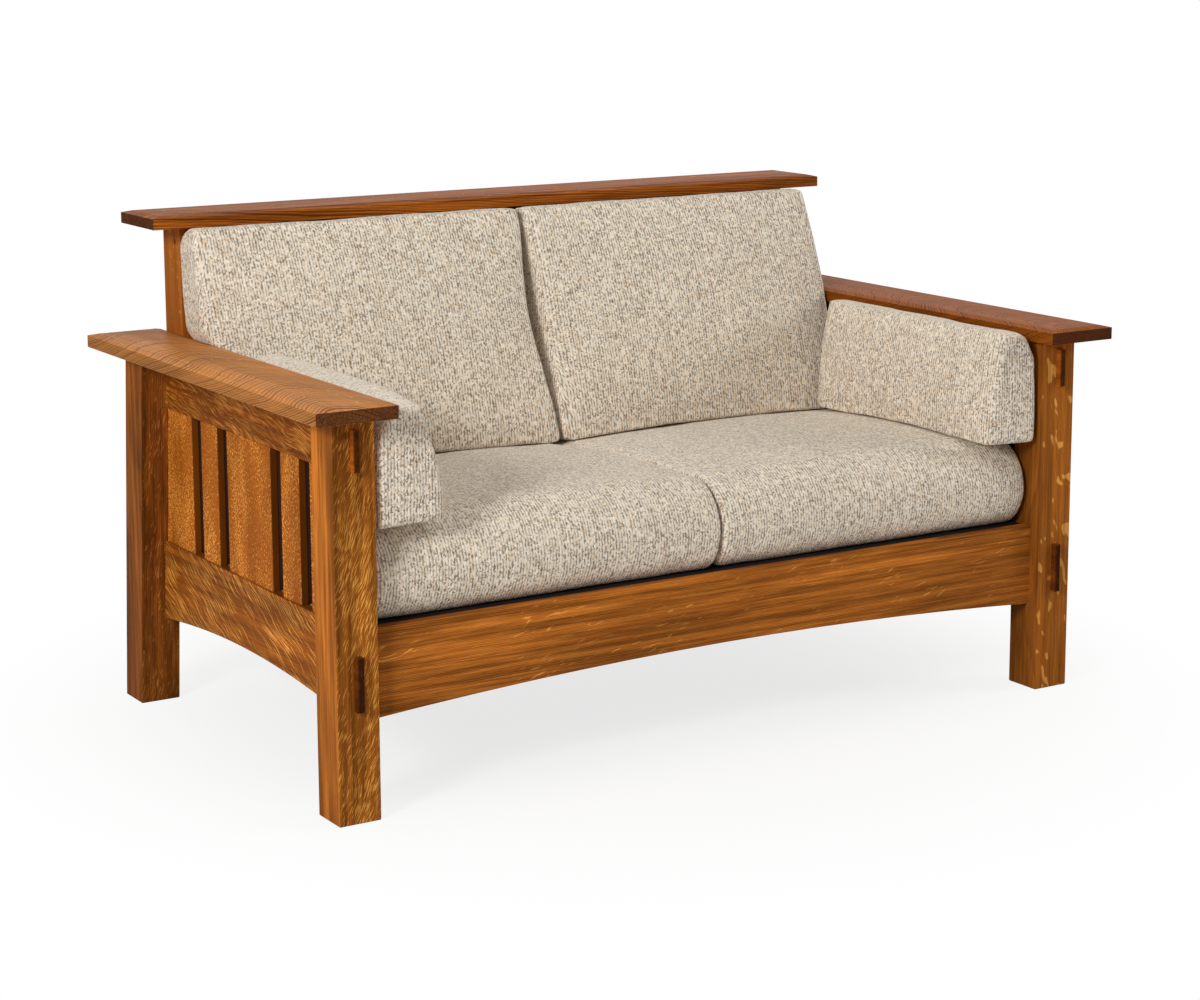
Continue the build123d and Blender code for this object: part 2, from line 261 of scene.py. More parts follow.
def oak_figure():
    """The figure of oak on a board's own axes: along the grain, across it and through it."""
    inputs = {
        "Vector": ("Board",), "Color": ("Middle", "Pale", "Dark", "Flake", "End grain"),
        "Float": ("Face", "Side", "End", "Ring spacing", "Flake turn", "Flake length",
                  "Flake width", *FIGURE_KEYS),
    }
    outputs = {"Color": ("Colour",), "Float": ("Height", "Roughness")}
    tree, paint, taken, given = node_group("oak_figure", inputs, outputs)
    board = taken["Board"]
    along, across, through = paint.parts(board)

    # Ring lines, from the distance to the tree's middle with a slow and a quick wander
    slow = paint.less(paint.mottle(board, (2.2, 8, 8)), 0.5)
    quick = paint.less(paint.mottle(board, (9, 55, 55), 3), 0.5)
    wander = paint.scaled(quick, 0.12, slow)
    flat_share = paint.less(1, taken["Cut"])
    place = paint.plus(paint.product(across, flat_share), paint.product(through, taken["Cut"]))
    place = paint.scaled(wander, paint.product(taken["Wander"], 2), place)
    place = paint.scaled(along, taken["Taper"], place)
    bowed = paint.product(paint.product(across, across), taken["Bow"])
    turns = paint.ratio(paint.plus(place, bowed), taken["Ring spacing"])
    years = {"W": paint.product(turns, 0.4), "Scale": 1}
    growth = paint.add("TexNoise", years, noise_dimensions="1D").outputs["Fac"]
    turns = paint.scaled(growth, 1.6, turns)
    part = paint.work("FRACT", turns)
    line = 0.16  # the dark line's share of a ring
    rise, fall = paint.ramp(part, 0.0, line), paint.ramp(part, line, 0.85, 1, 0)
    strength = paint.random(paint.floor(turns), 3.5, 1.5)
    ring = paint.product(paint.product(rise, fall), paint.scaled(strength, 0.7, 0.3))
    ring = paint.product(ring, taken["Rings"])

    # Fibres, pores and slow changes of tone
    fibres = paint.ramp(paint.mottle(board, (12, 380, 380), 3, 0.62), 0.3, 0.7)
    pores = paint.ramp(paint.mottle(board, (95, 1500, 1500), 1), 0.6, 0.7)
    pores = paint.product(pores, paint.scaled(part, -0.7, 0.9))
    tone = paint.ramp(paint.mottle(board, (1.8, 11, 11), 2), 0.3, 0.7, 0.8, 1.16)
    bands = paint.ramp(paint.mottle(board, (2.6, 75, 75), 3, 0.6), 0.34, 0.66, 0.64, 1.34)
    unevenness = paint.product(taken["Streaks"], 1.4)
    tone = paint.product(tone, paint.scaled(paint.less(bands, 1), unevenness, 1))

    # Ray flakes at a slant to the grain, bent a little and in drifts
    waves = {"Vector": paint.times(board, (12, 24, 4)), "Scale": 1, "Detail": 1.0}
    bend = {0: paint.add("TexNoise", waves).outputs["Color"], 1: (0.03, 0.024, 0), 2: board}
    bent = paint.add("VectorMath", bend, operation="MULTIPLY_ADD").outputs[0]
    slant = {"Vector": bent, "Angle": taken["Flake turn"]}
    turned = paint.add("VectorRotate", slant, rotation_type="Z_AXIS").outputs[0]
    long_way, short_way, deep = paint.parts(turned)
    cells = paint.vector(paint.ratio(long_way, taken["Flake length"]),
                         paint.ratio(short_way, taken["Flake width"]), paint.product(deep, 14))
    grown = paint.add("TexNoise", {"Vector": cells, "Scale": 1, "Detail": 1.2}).outputs["Fac"]
    drift = paint.ramp(paint.mottle(board, (6, 16, 5), 1), 0.32, 0.66, -0.05, 0.07)
    level = paint.scaled(taken["Flakes"], -0.2, 0.74)
    flake = paint.ramp(paint.less(paint.plus(grown, drift), level), 0, 0.05)
    flake = paint.product(flake, taken["Face"])
    bright = paint.scaled(taken["Flakes"], 0.6, 0.4)

    # The colour, from the ground up
    colour = paint.mix(paint.product(fibres, taken["Streaks"]), taken["Middle"], taken["Pale"])
    colour = paint.mix(ring, colour, taken["Dark"])
    colour = paint.mix(paint.product(flake, bright), colour, taken["Flake"])
    colour = paint.mix(paint.product(pores, 0.5), colour, taken["Dark"])
    colour = paint.dimmed(colour, tone)
    # Painted shade darkens a board's flanks, and a negative level lightens them as painted light
    colour = paint.dimmed(colour, paint.less(1, taken["Side"]))
    sawn = paint.mix(paint.scaled(fibres, 0.2, 0.04), taken["End grain"], colour)
    paint.feed(given["Colour"], paint.mix(taken["End"], colour, sawn))

    height = paint.scaled(ring, -0.35, paint.product(fibres, 0.25))
    paint.feed(given["Height"], paint.scaled(pores, -0.8, height))
    rough = paint.scaled(fibres, 0.1, paint.product(pores, 0.16))
    paint.feed(given["Roughness"], paint.scaled(flake, -0.07, rough))
    return tree


def rib_weave():
    """Upholstery ribs with random stitches, on a map in metres: across the ribs, then along."""
    inputs = {"Vector": ("Map",), "Color": ("Cream", "Beige", "Tan", "Brown"),
              "Float": ("Rib", "Stitch", "Worn")}
    outputs = {"Color": ("Colour",), "Float": ("Height",)}
    tree, paint, taken, given = node_group("rib_weave", inputs, outputs)

    # Ribs that sway, and whole stitches along them
    sway = paint.mottle(taken["Map"], (26, 26, 26), 1)
    across, along, _ = paint.parts(taken["Map"])
    ribs = paint.ratio(paint.scaled(sway, 0.0022, across), taken["Rib"])
    rib = paint.floor(ribs)
    crown = paint.ramp(paint.off_centre(ribs), 0.12, 0.5, 1, 0)
    stagger = paint.random(rib, 0.5, 0.5)
    stitches = paint.plus(paint.ratio(along, taken["Stitch"]), stagger)
    wobble = paint.mottle(taken["Map"], (150, 150, 150), 1)
    stitches = paint.scaled(wobble, 1.1, stitches)
    stitch = paint.floor(stitches)
    swell = paint.ramp(paint.off_centre(stitches), 0.2, 0.5, 1, 0)

    # Two yarns to a rib, each with shorter stitches of its own colour
    halves = paint.product(ribs, 2)
    half = paint.floor(halves)
    split = paint.off_centre(halves)
    shift = paint.random(half, 4.5, 0.5)
    short = paint.floor(paint.scaled(stitches, 1.75, shift))
    first, second = paint.random(half, short, 0.5), paint.random(half, short, 7.5)
    third = paint.random(paint.floor(paint.plus(ribs, 0.5)), stitch, 13.5)
    repeat = paint.random(paint.work("MODULO", rib, 4), 2.5, 2.5)
    light = paint.scaled(repeat, 0.3, paint.product(first, 0.8))
    yarn = paint.mix(paint.ramp(light, 0.15, 0.75), taken["Beige"], taken["Cream"])
    yarn = paint.mix(paint.ramp(second, 0.86, 0.9, 0, 0.8), yarn, taken["Tan"])
    yarn = paint.mix(paint.ramp(second, 0.16, 0.07, 0, 0.75), yarn, taken["Brown"])

    # Dark gaps around the yarns, painted shade between the ribs in the brown yarn; fewer where the
    # pile is worn and where tops are painted lighter as painted light
    crown = paint.product(crown, paint.ramp(split, 0.3, 0.5, 1, 0.75))
    gap = paint.less(1, paint.product(crown, paint.ramp(swell, 0, 1, 0.8, 1)))
    gap = paint.product(gap, paint.scaled(third, 1.1, 0.02))
    gap = paint.product(gap, paint.scaled(taken["Worn"], -0.6, 1))
    # Paler yarn where the pile is worn and where tops are painted lighter as painted light
    rubbed_and_lit = paint.mix(0.3, taken["Cream"], taken["Tan"])
    yarn = paint.mix(paint.product(taken["Worn"], 0.45), yarn, rubbed_and_lit)
    colour = paint.mix(gap, yarn, taken["Brown"])
    fuzz = paint.ramp(paint.mottle(taken["Map"], (900, 900, 900), 2), 0.3, 0.7, 0.84, 1.12)
    paint.feed(given["Colour"], paint.dimmed(colour, fuzz))
    lift = paint.product(crown, paint.scaled(swell, 0.4, 0.6))
    lift = paint.product(lift, paint.scaled(first, 0.5, 0.6))
    paint.feed(given["Height"], paint.scaled(fuzz, 0.25, lift))
    return tree


def new_material(name):
    """An empty material, its painter and its main shader."""
    material = bpy.data.materials.new(name)
    material.use_nodes = True
    paint = Shading(material.node_tree)
    shader = paint.add("BsdfPrincipled")
    paint.add("OutputMaterial", {"Surface": shader.outputs[0]})
    return material, paint, shader


def use_group(paint, make, inputs):
    """A shader group, made once, inside a material."""
    tree = bpy.data.node_groups.get(make.__name__) or make()
    return paint.add("Group", inputs, node_tree=tree).outputs


def bump(paint, height, distance, strength):
    """A bumped surface direction from a height."""
    inputs = {"Height": height, "Distance": distance, "Strength": strength}
    return paint.add("Bump", inputs).outputs[0]


# Boards

# What each board's figure takes from its cut
FIGURE_KEYS = ("Cut", "Wander", "Taper", "Bow", "Rings", "Streaks", "Flakes")

# The axes along a board and out of its quartersawn face; the levels of the figure's keys; the
# flakes' slant in degrees, length and width; how far its flanks are darkened as painted shade
# (a negative level lightens them as painted light); the tone of its sawn ends
CUTS = {
    "post": ("ZY", (0, 0.006, 0, 0, 0.4, 0.7, 0.74), (-14, 0.022, 0.0017), -0.5, 1),
    "back_post": ("ZY", (0, 0.006, 0, 0, 0.5, 0.7, 0.4), (-12, 0.016, 0.0021), -0.5, 1),
    "blotchy_post": ("ZY", (0, 0.012, 0, 0, 0.35, 0.55, 0.5), (20, 0.034, 0.017), 0.2, 1),
    "arm": ("YZ", (1, 0.016, 0.3, 5, 0.95, 0.16, 0), (0, 0.02, 0.004), 0.3, 1),
    "cap": ("XZ", (0.75, 0.014, 0.05, 2, 0.9, 0.7, 0.25), (-20, 0.03, 0.003), 0, 1),
    "apron": ("XY", (0, 0.005, 0, 0, 0.75, 0.75, 0.1), (-10, 0.03, 0.0036), 0, 1),
    "upper_rail": ("YX", (0, 0.004, 0, 0, 0.55, 0.5, 0.95), (-10, 0.036, 0.0014), 0, 1),
    "lower_rail": ("YX", (0, 0.006, 0, 0, 0.5, 0.5, 0.88), (-32, 0.075, 0.0026), 0, 1),
    "slat": ("ZX", (0, 0.003, 0, 0, 0.2, 0.12, 0.8), (-30, 0.0045, 0.002), 0.55, 1),
    "back_board": ("ZY", (0, 0.004, 0, 0, 0.5, 0.6, 0.4), (-15, 0.012, 0.003), 0, 1),
    "stile": ("ZX", (0.4, 0.006, 0, 0, 0.4, 0.3, 0.1), (-15, 0.012, 0.003), 0, 1),
    "tenon": ("YZ", (0, 0.002, 0, 0, 0.3, 0.6, 0), (0, 0.012, 0.003), 0, 0.4),
    "long_rail": ("XY", (0.3, 0.008, 0, 0, 0.5, 0.5, 0), (0, 0.02, 0.004), 0, 1),
    "short_rail": ("YX", (0.3, 0.008, 0, 0, 0.5, 0.5, 0), (0, 0.02, 0.004), 0, 1),
}

# The start of a node's name, or several, the cut, and the tint of the stain, which on the left
# arm also holds painted light and on the back posts painted shade
BOARDS = (
    ("front_post_right", "blotchy_post", (1.05, 1.08, 1.3)),
    # The back posts' dark tint is partly painted shade on their fronts
    ("front_post", "post", (0.86, 0.86, 0.92)), ("back_post", "back_post", (0.64, 0.62, 0.8)),
    # The left arm's strong tint paints its pale satin sheen and the brighter light on it: painted
    # light
    ("arm_left", "arm", (2.35, 3.2, 8.0)), ("arm_right", "arm", (1.3, 1.18, 0.95)),
    ("crest_cap", "cap", (1.12, 1.0, 0.95)),
    ("front_apron", "apron", (1.42, 1.45, 1.8)), ("back_apron", "apron", (0.95, 0.95, 0.95)),
    ("upper_side_rail", "upper_rail", (0.68, 0.6, 0.55)),
    ("lower_side_rail", "lower_rail", (1.02, 0.95, 0.98)),
    ("side_slat", "slat", (1.42, 1.3, 1.25)), ("side_backing", "stile", (1, 1, 1)),
    ("back_stile", "stile", (1.75, 1.75, 1.9)), ("stile_spacer", "back_board", (0.8, 0.8, 0.8)),
    (("back_top_rail", "back_lower_rail"), "apron", (0.9, 0.9, 0.9)),
    ("back_slat", "back_board", (0.92, 0.92, 0.92)), ("upper_tenon", "tenon", (1.1, 0.95, 0.8)),
    ("lower_tenon", "tenon", (0.5, 0.42, 0.5)),
    (("deck_rail_front", "deck_rail_back"), "long_rail", (1, 1, 1)),
    (("deck_rail", "deck_spine"), "short_rail", (1, 1, 1)),
)

# The tones of woods that carry no stain
PLAIN_TONES = {"Pale": (1.25, 1.25, 1.25), "Dark": (0.6, 0.55, 0.5), "Flake": (1.5, 1.4, 1.3)}
PLAIN_END = (0.7, 0.65, 0.6)
SQUARELY = (0.55, 0.8)  # how squarely a face turns to an axis before it counts, and counts fully
SHIFTS = (7, 0.02, 0.02)  # how far a board's figure may be shifted on its own axes
SPACING_SPREAD, SLANT_SPREAD = 0.25, 8  # how much boards differ, as a share and in degrees


def tinted(colour, tint):
    """A colour made darker or warmer by a tint."""
    return tuple(min(1, c * t) for c, t in zip(colour, tint))


def board_finish(name, cut, tint, seed):
    """The stained finish of one board, with a figure of its own."""
    oak = settings().oak
    axes, levels, (slant, length, width), flank_light_and_shade, sawn = CUTS[cut]
    material, paint, shader = new_material(name + "_finish")
    spots = paint.add("TexCoord").outputs
    place, facing = paint.parts(spots["Object"]), paint.parts(spots["Normal"])
    grain, face = ("XYZ".index(axis) for axis in axes)
    side = 3 - grain - face
    spin = np.random.default_rng(seed).uniform(-1, 1, 3)
    middle = sum(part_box(name), Vector()) / 2
    order = [paint.plus(place[axis], -middle[axis]) for axis in (grain, side, face)]
    board = paint.add("VectorMath", {0: paint.vector(*order), 1: tuple(spin * SHIFTS)}).outputs[0]
    turned = [paint.ramp(paint.work("ABSOLUTE", facing[axis]), *SQUARELY)
              for axis in (face, side, grain)]
    plain, behind = name.startswith("deck"), name.startswith("side_backing")
    base = oak.plain if plain else oak.behind if behind else oak.middle
    tones = {"Middle": base, "Pale": oak.pale, "Dark": oak.dark, "Flake": oak.flake}
    if plain or behind:
        tones.update({key: tinted(base, by) for key, by in PLAIN_TONES.items()})
    figure = use_group(paint, oak_figure, {
        **{key: tinted(tone, tint) for key, tone in tones.items()},
        **dict(zip(FIGURE_KEYS, levels)),
        "Board": board, "Face": turned[0], "End": turned[2],
        # The flanks' painted shade and painted light, on faces turned to the board's side axis
        "Side": paint.product(turned[1], flank_light_and_shade),
        "End grain": tinted(base, PLAIN_END) if plain else tinted(oak.end, (sawn,) * 3),
        "Ring spacing": oak.ring_spacing * (1 + SPACING_SPREAD * spin[1]),
        "Flake turn": math.radians(slant + SLANT_SPREAD * spin[2]),
        "Flake length": length, "Flake width": width,
    })
    paint.feed_all(shader.inputs, {
        "Base Color": figure["Colour"],
        "Roughness": paint.plus(figure["Roughness"], oak.roughness - 0.05),
        "Normal": bump(paint, figure["Height"], 0.0004, 0.5),
        "Specular IOR Level": 0.03,
    })
    return material


def paint_piece(piece, material):
    """Puts one material on a piece, on the object's own slots."""
    if not piece.data.materials:
        piece.data.materials.append(material)
    for place in piece.material_slots:
        place.link = "OBJECT"
        place.material = material


# Meshes

def deselect():
    """Leaves nothing selected and no piece being edited."""
    if bpy.context.object and bpy.context.object.mode != "OBJECT":
        bpy.ops.object.mode_set(mode="OBJECT")
    bpy.ops.object.select_all(action="DESELECT")


def link(piece):
    """Puts a new object into the scene."""
    bpy.context.scene.collection.objects.link(piece)


def pick(piece):
    """Makes one piece the only selected one."""
    deselect()
    piece.select_set(True)
    bpy.context.view_layer.objects.active = piece


def read(items, what, kind=float, width=1):
    """One property of a mesh's vertices, corners or faces, as an array."""
    flat = np.empty(len(items) * width, kind)
    items.foreach_get(what, flat)
    return flat if width == 1 else flat.reshape(-1, width)


def points_of(piece):
    """A piece's vertices as an array."""
    return read(piece.data.vertices, "co", width=3)


def directions_of(piece):
    """The outward direction at each of a piece's vertices."""
    return read(piece.data.vertices, "normal", width=3)


def move_to(piece, points):
    """Puts a piece's vertices at new places."""
    piece.data.vertices.foreach_set("co", np.asarray(points, float).ravel())
    piece.data.update()


def finish_with(piece, kind, **facts):
    """Adds a modifier to a piece and applies it."""
    pick(piece)
    made = piece.modifiers.new(kind.lower(), kind)
    set_all(made, facts)
    bpy.ops.object.modifier_apply(modifier=made.name)


def edit_all(piece, *steps):
    """Runs steps of edit mode on all of a piece."""
    pick(piece)
    bpy.ops.object.mode_set(mode="EDIT")
    bpy.ops.mesh.select_all(action="SELECT")
    for step, facts in steps:
        step(**facts)
    bpy.ops.object.mode_set(mode="OBJECT")


def closed_copy(node, name):
    """A copy of a hard-edged node as one closed skin."""
    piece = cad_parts[node].copy()
    piece.data = piece.data.copy()
    piece.name = piece.data.name = name
    for key in list(piece.keys()):
        del piece[key]
    piece.parent = None
    piece.matrix_world = Matrix.Identity(4)
    link(piece)
    piece.hide_viewport = piece.hide_render = False
    piece.hide_set(False)
    edit_all(piece, (bpy.ops.mesh.remove_doubles, {"threshold": 0.00001}),
             (bpy.ops.mesh.normals_make_consistent, {"inside": False}))
    piece.data.materials.clear()
    return piece


# Cushions

# For each kind, the axis across its ribs, the size of its mesh, how worn its pile is all over and
# how much lighter its top is painted, as painted light with some wear, and what stands beside it
CUSHIONS = {
    "seat_cushion": dict(axis=0, voxel=0.0075, worn=(0.3, 0.25), beside=(
        "deck_cloth", "front_post_right", "bolster_right", "back_cushion_right")),
    "back_cushion": dict(axis=0, voxel=0.007, worn=(0.35, 0.0), beside=(
        "seat_cushion_right", "crest_cap", "back_top_rail", "arm_right", "back_stile_right")),
    "bolster": dict(axis=1, voxel=0.006, worn=(0.25, 0.7), beside=(
        "seat_cushion_right", "front_post_right", "arm_right", "back_cushion_right")),
}

EASING_ROUNDS = 3  # how often the filled cover is eased to the cushion's form
REST_INSET = 0.014  # from a cushion's edge to where its underside starts to sag
SEAT_NOSE, SEAT_HEEL = 0.1, 0.009  # the rounded front and back of the seat, which hold nothing up
BELOW_SEAT, ABOVE_SEAT = 0.3, 0.7  # the heights that the sag is felt out from
SAG_POWER = 1.5  # how fast the sag fades upwards
DENT_SCALES = (7, 19)  # waves per metre of the slow and the quick dents
DENT_LEVEL, DENT_MOST = 0.35, 1.2
PUCKER_SCALE = 38
SEAM_WIDTHS = (0.0055, 0.017)  # of the groove, and of the puckers beside it
MAP_BINS = 180
PANEL_FACING = 0.66  # faces turned this far to an end belong to its panel
PANEL_SHIFT = (1.7, 0)  # keeps the panels clear of the rest on the map
SEARCH = 0.03  # how far a cover looks for its neighbours
MIDDLE_GAP = 0.0002  # how far a cushion may pass its solid towards the middle
CLOTH = {"quality": 4, "mass": 0.4, "tension_stiffness": 12, "compression_stiffness": 12,
         "bending_stiffness": 1.2, "use_pressure": True}


def fill_with_air(piece):
    """Lets the filling push the cover out, and stops it from going too far."""
    chosen = settings().cushions
    before, out = points_of(piece), directions_of(piece)
    cloth = piece.modifiers.new("filling", "CLOTH")
    set_all(cloth.settings, CLOTH)
    cloth.settings.uniform_pressure_force = chosen.pressure
    cloth.settings.effector_weights.gravity = 0
    cloth.point_cache.frame_start = 1
    cloth.point_cache.frame_end = chosen.steps
    for number in range(1, chosen.steps + 1):
        bpy.context.scene.frame_set(number)
    pick(piece)
    bpy.ops.object.modifier_apply(modifier=cloth.name)
    bpy.context.scene.frame_set(1)
    moved = points_of(piece) - before
    lift = (moved * out).sum(1, keepdims=True)
    slide = moved - lift * out
    far = np.linalg.norm(slide, axis=1, keepdims=True) + 1e-9
    slide *= chosen.tuck * np.tanh(far / chosen.tuck) / far
    limit = np.where(lift > 0, chosen.swell, chosen.tuck)
    move_to(piece, before + slide + out * limit * np.tanh(lift / limit))


def surface_of(node):
    """A search tree of a node's surface."""
    form = closed_copy(node, "form_of_" + node)
    tree = BVHTree.FromObject(form, bpy.context.evaluated_depsgraph_get())
    bpy.data.objects.remove(form)
    return tree


def settle_in_place(piece, node):
    """Eases the filled cover out to the cushion's form, and back where it stands proud of it."""
    chosen = settings().cushions
    tree = surface_of(node)
    for _ in range(EASING_ROUNDS):
        points, out = points_of(piece), directions_of(piece)
        gaps = np.zeros(len(points))
        for number, point in enumerate(points):
            spot, normal, _, _ = tree.find_nearest(Vector(point))
            gaps[number] = (Vector(point) - spot).dot(normal)
        inside = np.minimum(gaps + chosen.slack, 0)
        proud = np.maximum(gaps - chosen.proud, 0)
        move_to(piece, points - out * (inside + proud)[:, None])


def rest_on_seat(piece, node):
    """Lets the underside of a filled cover sag onto the crowned seat cushion below it."""
    chosen = settings().cushions
    own, seat = surface_of(node), surface_of("seat_cushion_right")
    low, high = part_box(node)
    start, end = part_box("seat_cushion_right")
    points = points_of(piece)
    for number, (x, y, z) in enumerate(points):
        x = min(max(x, low.x + REST_INSET), high.x - REST_INSET)
        y = min(max(y, low.y + REST_INSET, start.y + SEAT_NOSE),
                high.y - REST_INSET, end.y - SEAT_HEEL)
        base = own.ray_cast(Vector((x, y, BELOW_SEAT)), Vector((0, 0, 1)))[0]
        top = seat.ray_cast(Vector((x, y, ABOVE_SEAT)), Vector((0, 0, -1)))[0]
        if base is not None and top is not None:
            gap = min(base.z - top.z - chosen.clear, chosen.sag)
            share = min(max(1 - (z - base.z) / chosen.sag_height, 0), 1)
            points[number, 2] -= max(gap, 0) * share ** SAG_POWER
    move_to(piece, points)


def soft_dents(piece, seed):
    """Slow, shallow dents, different on each cushion."""
    height = settings().cushions.softness
    points, out = points_of(piece), directions_of(piece)
    start = Vector((seed * 3.7, seed * 1.3, seed * 2.1))
    slow, quick = ([noise.noise(Vector(p) * scale + start) for p in points]
                   for scale in DENT_SCALES)
    lifts = np.array(slow) + 0.5 * np.array(quick)
    lifts = np.clip(lifts - DENT_LEVEL, -DENT_MOST, 0.0)[:, None]
    move_to(piece, points + out * lifts * height)


def sew_ends(piece, axis, seed):
    """Draws the cover in along a seam near each end, with a few small puckers."""
    chosen = settings().cushions
    points, out = points_of(piece), directions_of(piece)
    along = points[:, axis]
    start = Vector((seed, 2 * seed, 0))
    pucker = np.array([noise.noise(Vector(p) * PUCKER_SCALE + start) for p in points])
    pull = np.zeros(len(points))
    for end, inward in ((along.min(), 1), (along.max(), -1)):
        away = (along - end) * inward - chosen.seam_inset * (1 + 0.12 * pucker)
        groove, beside = (np.exp(-(away / width) ** 2) for width in SEAM_WIDTHS)
        pull += groove * (1 + 0.35 * pucker) + beside * 0.35 * np.clip(pucker, 0, 1)
    outward = 1 - np.abs(out[:, axis]) ** 4
    move_to(piece, points - out * (chosen.seam_depth * pull * outward)[:, None])


def cloth_map(piece, axis):
    """Lays out the cover in metres: across the ribs, then along them round the cushion."""
    mesh = piece.data
    points = points_of(piece)
    low, high = points.min(0), points.max(0)
    first, second = [number for number in range(3) if number != axis]
    away = points - (low + high) / 2
    angle = np.arctan2(away[:, second], away[:, first])
    reach = np.hypot(away[:, second], away[:, first])
    central = np.abs(away[:, axis]) < 0.3 * (high[axis] - low[axis])
    slots = ((angle + math.pi) / math.tau * MAP_BINS).astype(int) % MAP_BINS
    spread = (np.arange(MAP_BINS) + 0.5) / MAP_BINS * math.tau - math.pi
    total = np.bincount(slots[central], reach[central], MAP_BINS)
    count = np.bincount(slots[central], minlength=MAP_BINS)
    full = count > 0
    radius = np.interp(spread, spread[full], total[full] / count[full], period=math.tau)
    ring = np.stack([radius * np.cos(spread), radius * np.sin(spread)], 1)
    steps = np.linalg.norm(np.roll(ring, -1, 0) - ring, axis=1)
    whole = steps.sum()
    marks = np.concatenate([[0], np.cumsum(steps)])
    turns = np.concatenate([spread, [spread[0] + math.tau]])
    run = np.interp((angle - spread[0]) % math.tau + spread[0], turns, marks)

    corners = read(mesh.loops, "vertex_index", int)
    starts = read(mesh.polygons, "loop_start", int)
    totals = read(mesh.polygons, "loop_total", int)
    faces = np.repeat(np.arange(len(totals)), totals)
    round_it = run[corners]
    least = np.minimum.reduceat(round_it, starts)
    most = np.maximum.reduceat(round_it, starts)
    crosses = ((most - least) > whole / 2)[faces]
    round_it = np.where(crosses & (round_it < whole / 2), round_it + whole, round_it)
    flat = np.stack([points[corners, axis], round_it], 1)
    facing = read(mesh.polygons, "normal", width=3)
    panel = (np.abs(facing[:, axis]) > PANEL_FACING)[faces]
    ends = points[corners][:, [first, second]] + PANEL_SHIFT
    flat = np.where(panel[:, None], ends, flat)
    layer = mesh.uv_layers.new(name="cover")
    layer.data.foreach_set("uv", flat.astype(np.float32).ravel())


def flatten_pile(piece, kind):
    """Marks worn pile a little all over, and paints the tops lighter: painted light with some wear.
    """
    all_over, painted_top_light = CUSHIONS[kind]["worn"]
    up = np.clip(directions_of(piece)[:, 2], 0, 1)
    layer = piece.data.attributes.new("worn", "FLOAT", "POINT")
    layer.data.foreach_set("value", all_over + painted_top_light * up)


# For each bulge its middle, its reach, its move, and its reach below the middle
LEANS = {
    "back_cushion_left": (((-0.672, 0.24, 0.72), (0.08, 0.22, 0.22), (-0.026, 0, 0), 0.035),
                          ((-0.001, 0.15, 0.74), (0.05, 0.12, 0.17), (-0.034, 0.006, 0), 0.17)),
    "back_cushion_right": (((0.001, 0.13, 0.72), (0.035, 0.08, 0.18), (0.015, 0.018, 0), 0.18),),
    "bolster_left": (((-0.577, -0.16, 0.51), (0.06, 1.0, 0.14), (0.016, 0, 0), 0.14),
                     ((-0.62, -0.435, 0.69), (0.09, 0.09, 0.07), (0, 0, -0.012), 0.07)),
}


def lean(piece, name):
    """Bulges or draws in parts of one cushion, as use has left it."""
    points = points_of(piece)
    for middle, reach, move, under in LEANS.get(name, ()):
        away = (points - middle) / reach
        away[:, 2] *= np.where(away[:, 2] < 0, reach[2] / under, 1)
        near = np.exp(-(away ** 2).sum(1))
        points = points + near[:, None] * move
    move_to(piece, points)


def keep_clear(piece, kind, side, trees):
    """Holds a cushion's cover back from what it rests on and what stands beside it."""
    points = points_of(piece) * (side, 1, 1)
    clear = settings().cushions.clear
    for tree in trees:
        for number, point in enumerate(points):
            spot, normal, _, _ = tree.find_nearest(Vector(point), SEARCH)
            if spot is not None:
                near = clear - (Vector(point) - spot).dot(normal)
                if near > 0:
                    points[number] += np.array(normal) * near
    if kind != "bolster":
        points[:, 0] = np.maximum(points[:, 0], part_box(kind + "_right")[0].x - MIDDLE_GAP)
    move_to(piece, points * (side, 1, 1))


def fabric_finish():
    """The ribbed upholstery."""
    chosen = settings().fabric
    material, paint, shader = new_material("ribbed_upholstery")
    inputs = {"Map": paint.add("UVMap", uv_map="cover").outputs[0],
              "Worn": paint.add("Attribute", attribute_name="worn").outputs["Fac"],
              "Rib": chosen.rib, "Stitch": chosen.stitch}
    for key in ("Cream", "Beige", "Tan", "Brown"):
        inputs[key] = tuple(getattr(chosen, key.lower()))
    weave = use_group(paint, rib_weave, inputs)
    paint.feed_all(shader.inputs, {
        "Base Color": weave["Colour"], "Normal": bump(paint, weave["Height"], 0.0012, 0.8),
        "Roughness": 0.92, "Specular IOR Level": 0.2, "Sheen Weight": 0.2,
        "Sheen Roughness": 0.5, "Sheen Tint": (1, 0.97, 0.92),
    })
    return material


def make_cushions(kind):
    """A pair of cushions: one is filled, and its mirror image gets dents of its own."""
    facts = CUSHIONS[kind]
    node = kind + "_right"
    cover = closed_copy(node, kind + "_cover")
    shrink = settings().cushions.shrink
    edit_all(cover, (bpy.ops.transform.shrink_fatten, {"value": -shrink}))
    size = facts["voxel"] * 1
    finish_with(cover, "REMESH", mode="VOXEL", voxel_size=size)
    fill_with_air(cover)
    settle_in_place(cover, node)
    if kind != "seat_cushion":
        rest_on_seat(cover, node)
    finish_with(cover, "SUBSURF", levels=1, render_levels=1)
    beside = [surface_of(name) for name in facts["beside"]]
    material = bpy.data.materials.get("ribbed_upholstery") or fabric_finish()
    mirrored = cover.copy()
    mirrored.data = cover.data.copy()
    link(mirrored)
    move_to(mirrored, points_of(cover) * (-1, 1, 1))
    mirrored.data.flip_normals()
    for piece, side, word, seed in ((cover, 1, "right", 4), (mirrored, -1, "left", 9)):
        piece.name = piece.data.name = f"{kind}_{word}_cover"
        soft_dents(piece, seed + facts["axis"])
        lean(piece, f"{kind}_{word}")
        sew_ends(piece, facts["axis"], seed)
        keep_clear(piece, kind, side, beside)
        cloth_map(piece, facts["axis"])
        flatten_pile(piece, kind)
        pick(piece)
        bpy.ops.object.shade_smooth()
        paint_piece(piece, material)
        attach(piece, f"{kind}_{word}")
        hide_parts(f"{kind}_{word}")


# Deck and screws

